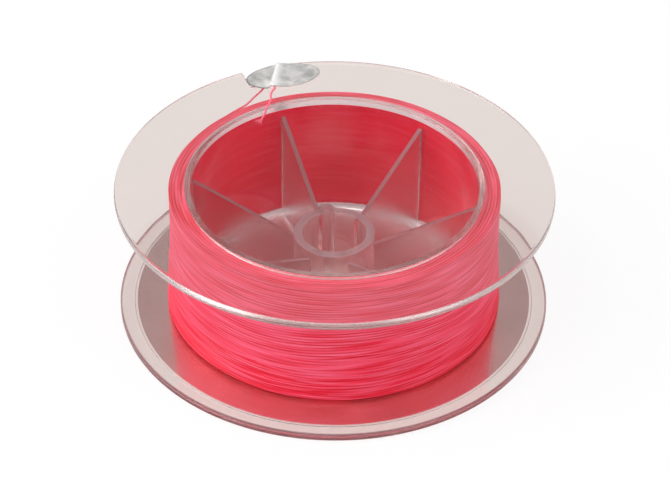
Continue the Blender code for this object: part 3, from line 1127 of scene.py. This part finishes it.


# %% [markdown]
# ## Clear plastic
#
# The moulding and the ring are clear polystyrene, which bends light strongly. It isn't perfectly clear: it
# greys what lies behind it, more so where light runs a long way through it, such as along a rim. That is
# a faint absorption inside the plastic, so the finish has a volume. Its surface has the slow waves of
# moulded plastic, and faint smudges from handling. The numbers on the faces add to its roughness, paint
# pink light into its colour and give the rough joint a painted glow.

# %% Mix the clear plastic
clear = Finish(
    "clear_polystyrene",
    {"IOR": 1.57, "Transmission Weight": 1.0, "Base Color": (0.96, 0.94, 0.93), "Emission Strength": 1.0},
)
smudges = clear.noise(70, detail=3.0)
matt = clear.mark("matt")
blush = clear.mark("blush")
milk = clear.mark("milk")
flow = clear.noise(140, (1, 1, 0.5), detail=1.0)
polished = clear.blend(smudges, (0.960, 0.922, 0.910), (0.985, 0.950, 0.940))
# The faces' pink is painted pink light from the line, and their emission is a painted glow on the joint.
clear.vary(
    {
        "Base Color": clear.blend(blush, polished, (0.45, 0.25, 0.285)),
        "Roughness": (smudges * smudges) * 0.06 + matt,
        "Emission Color": clear.blend(milk, (0.0, 0.0, 0.0), (0.12, 0.135, 0.14)),
    },
    flow, depth=0.05 * MM, strength=0.25,
)
absorption = clear.node(
    "ShaderNodeVolumeAbsorption", {}, {"Color": (0.95, 0.91, 0.92), "Density": 20.0}
)
clear.tree.links.new(absorption.socket, clear.tree.nodes["Material Output"].inputs["Volume"])
clear.on(moulding, ring)

# %% [markdown]
# ## Pink braid
#
# The line is a dyed braid: bright pink, matt, with a soft sheen from its fibres. Across the winding the
# colour changes from turn to turn. The grooves get a painted shade, deeper in colour, for the light that
# bounces about in them, the higher crests get a painted highlight and the foot a painted shade. A painted
# glow stands for the little light that soaks through the braid, to its underside, which the foil mirrors,
# and to the side that touches the barrel. The plaits are a fine bump of two slanted waves that cross,
# worked out from the angle round the spool and the height.

# %% Mix the pink braid
PLAITS_ROUND = 460  # whole plaits round the winding
braid_plain = {"IOR": 1.38, "Sheen Weight": 0.09, "Sheen Roughness": 0.4, "Sheen Tint": (1.0, 0.75, 0.8)}
braid = Finish("pink_braid", {**braid_plain, "Emission Strength": 1.0})
x, y, z = (
    braid.node("ShaderNodeSeparateXYZ", {}, {0: braid.place()}, axis) for axis in ("X", "Y", "Z")
)
angle = x.maths("ARCTAN2", y, x)
fibres = braid.noise(1.0, (260, 260, 5200), detail=2.0)
turn_tint = braid.noise(1.0, (18, 18, 1900), detail=1.0)
slant = z * (math.tau / pitch)
plait = (angle * PLAITS_ROUND + slant).sine() * (angle * PLAITS_ROUND - slant).sine()
# A painted shade in the grooves.
groove = braid.mark("sunk")
# The turns' own tone, with the painted highlight on the crests and the painted shade at the foot.
dull = braid.mark("dull")
bright = (1 - dull + (turn_tint - 0.5) * 0.2 + (fibres - 0.5) * 0.5 + plait * 0.12).held()
base = braid.blend(bright, (0.88, 0.006, 0.045), (1.0, 0.145, 0.260))
# A painted glow, for the light that soaks through the braid.
soaked = braid.mark("soaked")
braid.vary(
    {
        "Base Color": braid.blend(groove.held(), base, (0.64, 0.001, 0.010)),
        "Emission Color": braid.blend(soaked, (0.0, 0.0, 0.0), (0.45, 0.04, 0.08)),
        "Roughness": 0.5 + fibres * 0.2,
    },
    fibres + plait * 0.35, depth=0.06 * MM, strength=0.7,
)
braid.on(winding, strands)

loose = Finish("loose_braid", braid_plain)
fuzz = loose.noise(2600, detail=2.0)
loose.vary(
    {"Base Color": loose.blend(fuzz, (0.88, 0.10, 0.17), (1.0, 0.30, 0.40)), "Roughness": 0.55 + fuzz * 0.2},
    fuzz, depth=0.05 * MM, strength=0.6,
)
loose.on(loose_end, plies, fray)

# %% [markdown]
# ## Silver paper and foil
#
# The sticker is silver paper: metallic, but dull and a little blotchy, with a white back. Along its fold
# it gets a painted highlight, paler and less metallic, standing in for the bright reflection on the fold's
# face. The label is foil with a satin face, so it mirrors the pink line in soft streaks, and its colour is
# tinted pink as a painted reflection of the line. The paper's bump is a fine grain, and the foil's is its
# faint rolling marks.

# %% Mix the two silvers
paper = Finish("silver_paper", {})
patches = paper.noise(230, detail=2.0)
blotch = paper.noise(620, detail=4.0)
silver = paper.node(
    "ShaderNodeValToRGB",
    {"stops": ((0.32, (0.46, 0.465, 0.45)), (0.50, (0.68, 0.675, 0.66)), (0.66, (0.88, 0.87, 0.865)))},
    {"Fac": patches * 0.6 + blotch * 0.4},
    "Color",
)
whitened = paper.mark("whitened")
darkened = paper.mark("darkened")
# The fold's painted highlight, standing in for the bright reflection on the fold's face.
with_fold_highlight = paper.blend(whitened, silver, (0.95, 0.95, 0.94))
faced = paper.blend(darkened, with_fold_highlight, (0.20, 0.17, 0.18))
facing = paper.node("ShaderNodeNewGeometry", {}, {}, "True Normal")
upward = paper.node("ShaderNodeSeparateXYZ", {}, {0: facing}, "Z")
backed = upward.maths("LESS_THAN", upward, -0.5)
paper.vary(
    {
        "Base Color": paper.blend(backed, faced, (0.92, 0.90, 0.87)),
        "Roughness": 0.42 + blotch * 0.20,
        "Metallic": (0.55 - whitened * 0.45 - backed).held(),
    },
    paper.noise(2200, detail=3.0), depth=0.03 * MM, strength=0.5,
)
paper.on(sticker)

foil = Finish("satin_foil", {"Metallic": 0.92})
mottle = foil.noise(90, detail=5.0)
rolled = foil.noise(1.0, (60, 1500, 60), detail=2.0)
# The foil's base colour is tinted pink: a painted reflection of the pink line, on its own mottled silver.
foil.vary(
    {
        "Base Color": foil.blend(mottle, (0.73, 0.53, 0.53), (0.96, 0.73, 0.73)),
        "Roughness": 0.16 + (mottle * 0.5 + rolled * 0.5) * 0.12,
    },
    rolled + mottle * 0.5, depth=0.01 * MM, strength=0.3,
)
foil.on(label)

# %% [markdown]
# ## Floor, world and lamps
#
# A product photograph is lit by large soft lamps in a white room. The floor is white to the eye and keeps a
# soft shadow, and seen through the plastic it is a little grey. The world lights the spool evenly. Through
# the plastic it is bright overhead, where the lamps hang, and less so straight above. In reflections it is
# darker overhead, which gives the clear edges something darker to show.

# %% Build the stage
FLOOR_DROP = 0.3 * MM  # so that the floor and the spool's underside are never in one plane
SHADOW_SHARE = 0.16
FLOOR_GLOW, FLOOR_PAINT = 1.02, (0.82, 0.82, 0.82)
IN_PLASTIC = (0.845, 0.785, 0.750)  # the floor as plastic and foil show it
UNDER_IN_PLASTIC = (0.75, 0.665, 0.64)  # the same under the spool, in its shadow
UNDER_SPOOL, UNDER_SPOOL_R = (2 * MM, -3 * MM, 0.0), 57 * MM
UNDER_EDGE = 7 * MM  # how softly that shadow ends
ABOVE_IN_PLASTIC = (1.80, 1.73, 1.71)  # the room overhead, where plastic bends light to it
HORIZON_IN_GLOSS = (0.64, 0.60, 0.58)  # the room's walls, in reflections
ABOVE_IN_GLOSS = (0.30, 0.285, 0.28)  # the room overhead, in reflections
WORLD_LIGHT = 0.50
SOFTBOX_SIZE = 0.9

nothing_selected()
bpy.ops.mesh.primitive_plane_add(size=6, location=(0, 0, -FLOOR_DROP))
floor = bpy.context.object
floor.name = "studio_floor"
white_floor = bpy.data.materials.new("studio_white")
white_floor.use_nodes = True
white = Tree(white_floor.node_tree)
white.tree.nodes.clear()
eye = white.node("ShaderNodeLightPath", {}, {}, "Is Camera Ray")
seen = (eye + eye.output("Is Glossy Ray") + eye.output("Is Transmission Ray")).held()
place = white.place()
from_spool = white.node(
    "ShaderNodeVectorMath", {"operation": "DISTANCE"}, {0: place, 1: UNDER_SPOOL}, "Value"
)
covered = ((UNDER_SPOOL_R - from_spool) * (1 / UNDER_EDGE)).held()
plastic_floor = white.blend(covered, IN_PLASTIC, UNDER_IN_PLASTIC)
shade = white.blend(eye, plastic_floor, (1.0, 1.0, 1.0))
glow = white.node("ShaderNodeEmission", {}, {"Color": shade, "Strength": FLOOR_GLOW})
paint = white.node("ShaderNodeBsdfDiffuse", {}, {"Color": FLOOR_PAINT})
surface = white.node("ShaderNodeMixShader", {}, {0: seen * (1 - SHADOW_SHARE), 1: paint, 2: glow})
ending = white.tree.nodes.new("ShaderNodeOutputMaterial")
white.fill(ending, {"Surface": surface})
floor.data.materials.append(white_floor)
floor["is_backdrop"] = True

world = bpy.data.worlds.new("white_room")
world.use_nodes = True
bpy.context.scene.world = world
room = Tree(world.node_tree)
way = room.node("ShaderNodeSeparateXYZ", {}, {0: room.node("ShaderNodeTexCoord", {}, {}, "Generated")}, "Z")
overhead = ((way - 0.25) * 1.6).held() * (1 - ((way - 0.78) * 5).held() * 0.5)
ray = room.node("ShaderNodeLightPath", {}, {}, "Is Camera Ray")
colour = (WORLD_LIGHT,) * 3
for kind, horizon, zenith in (
    ("Is Transmission Ray", IN_PLASTIC, ABOVE_IN_PLASTIC),
    ("Is Glossy Ray", HORIZON_IN_GLOSS, ABOVE_IN_GLOSS),
    ("Is Camera Ray", (1.0, 1.0, 1.0), (1.0, 1.0, 1.0)),
):
    colour = room.blend(ray.output(kind), colour, room.blend(overhead, horizon, zenith))
room.fill(room.tree.nodes["Background"], {"Color": colour, "Strength": 1.0})


def softbox(name, place, share):
    """A square lamp that gives this share of full light at the spool."""
    nothing_selected()
    away = Vector(place) - CAMERA_TARGET
    power = math.pi**2 * share * away.length_squared
    bpy.ops.object.light_add(type="AREA", location=place)
    lamp = bpy.context.object
    lamp.name = name
    lamp.data.shape = "SQUARE"
    lamp.data.size = SOFTBOX_SIZE
    lamp.data.energy = power
    lamp.rotation_euler = away.to_track_quat("Z", "Y").to_euler()
    print(name, round(power, 2), "W")


softbox("left_softbox", (-1.0, -0.20, 0.75), 0.62)
softbox("right_softbox", (0.95, -0.50, 0.6), 0.25)
softbox("top_softbox", (0.0, -0.15, 1.1), 0.28)

# %% [markdown]
# ## Fasten the pieces and finish
#
# Every piece rides on the spool's one body, and the imported node that it stands for is hidden. The view
# transform is Standard, so that a colour renders as it is mixed.

# %% Fasten, print the boxes and finish
PLASTIC_BOUNCES = 40  # light is bent many times in the ribs, the rims and the boss

for piece, slot, node in (
    (moulding, "clear_plastic", "spool_body"),
    (ring, "clear_plastic", "top_flange"),
    (winding, "pink_braid", "line_winding"),
    (strands, "pink_braid", "line_winding"),
    (loose_end, "pink_braid", "line_end"),
    (plies, "pink_braid", "line_end"),
    (fray, "pink_braid", "line_end"),
    (sticker, "silver_sticker", "end_sticker"),
    (label, "silver_foil", "foil_label"),
):
    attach(piece, "root")
    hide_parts(node)
scene = bpy.context.scene
scene.view_settings.view_transform = "Standard"
scene.cycles.max_bounces = PLASTIC_BOUNCES
scene.cycles.transmission_bounces = PLASTIC_BOUNCES
scene.cycles.glossy_bounces = PLASTIC_BOUNCES
scene.cycles.diffuse_bounces = 6
scene.cycles.blur_glossy = 0.0
visual_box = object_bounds()
boxes = {"cad": cad_box, "visual": visual_box}
for name, box in boxes.items():
    print(name, "box, in mm:", [[round(value / MM, 2) for value in corner] for corner in box])
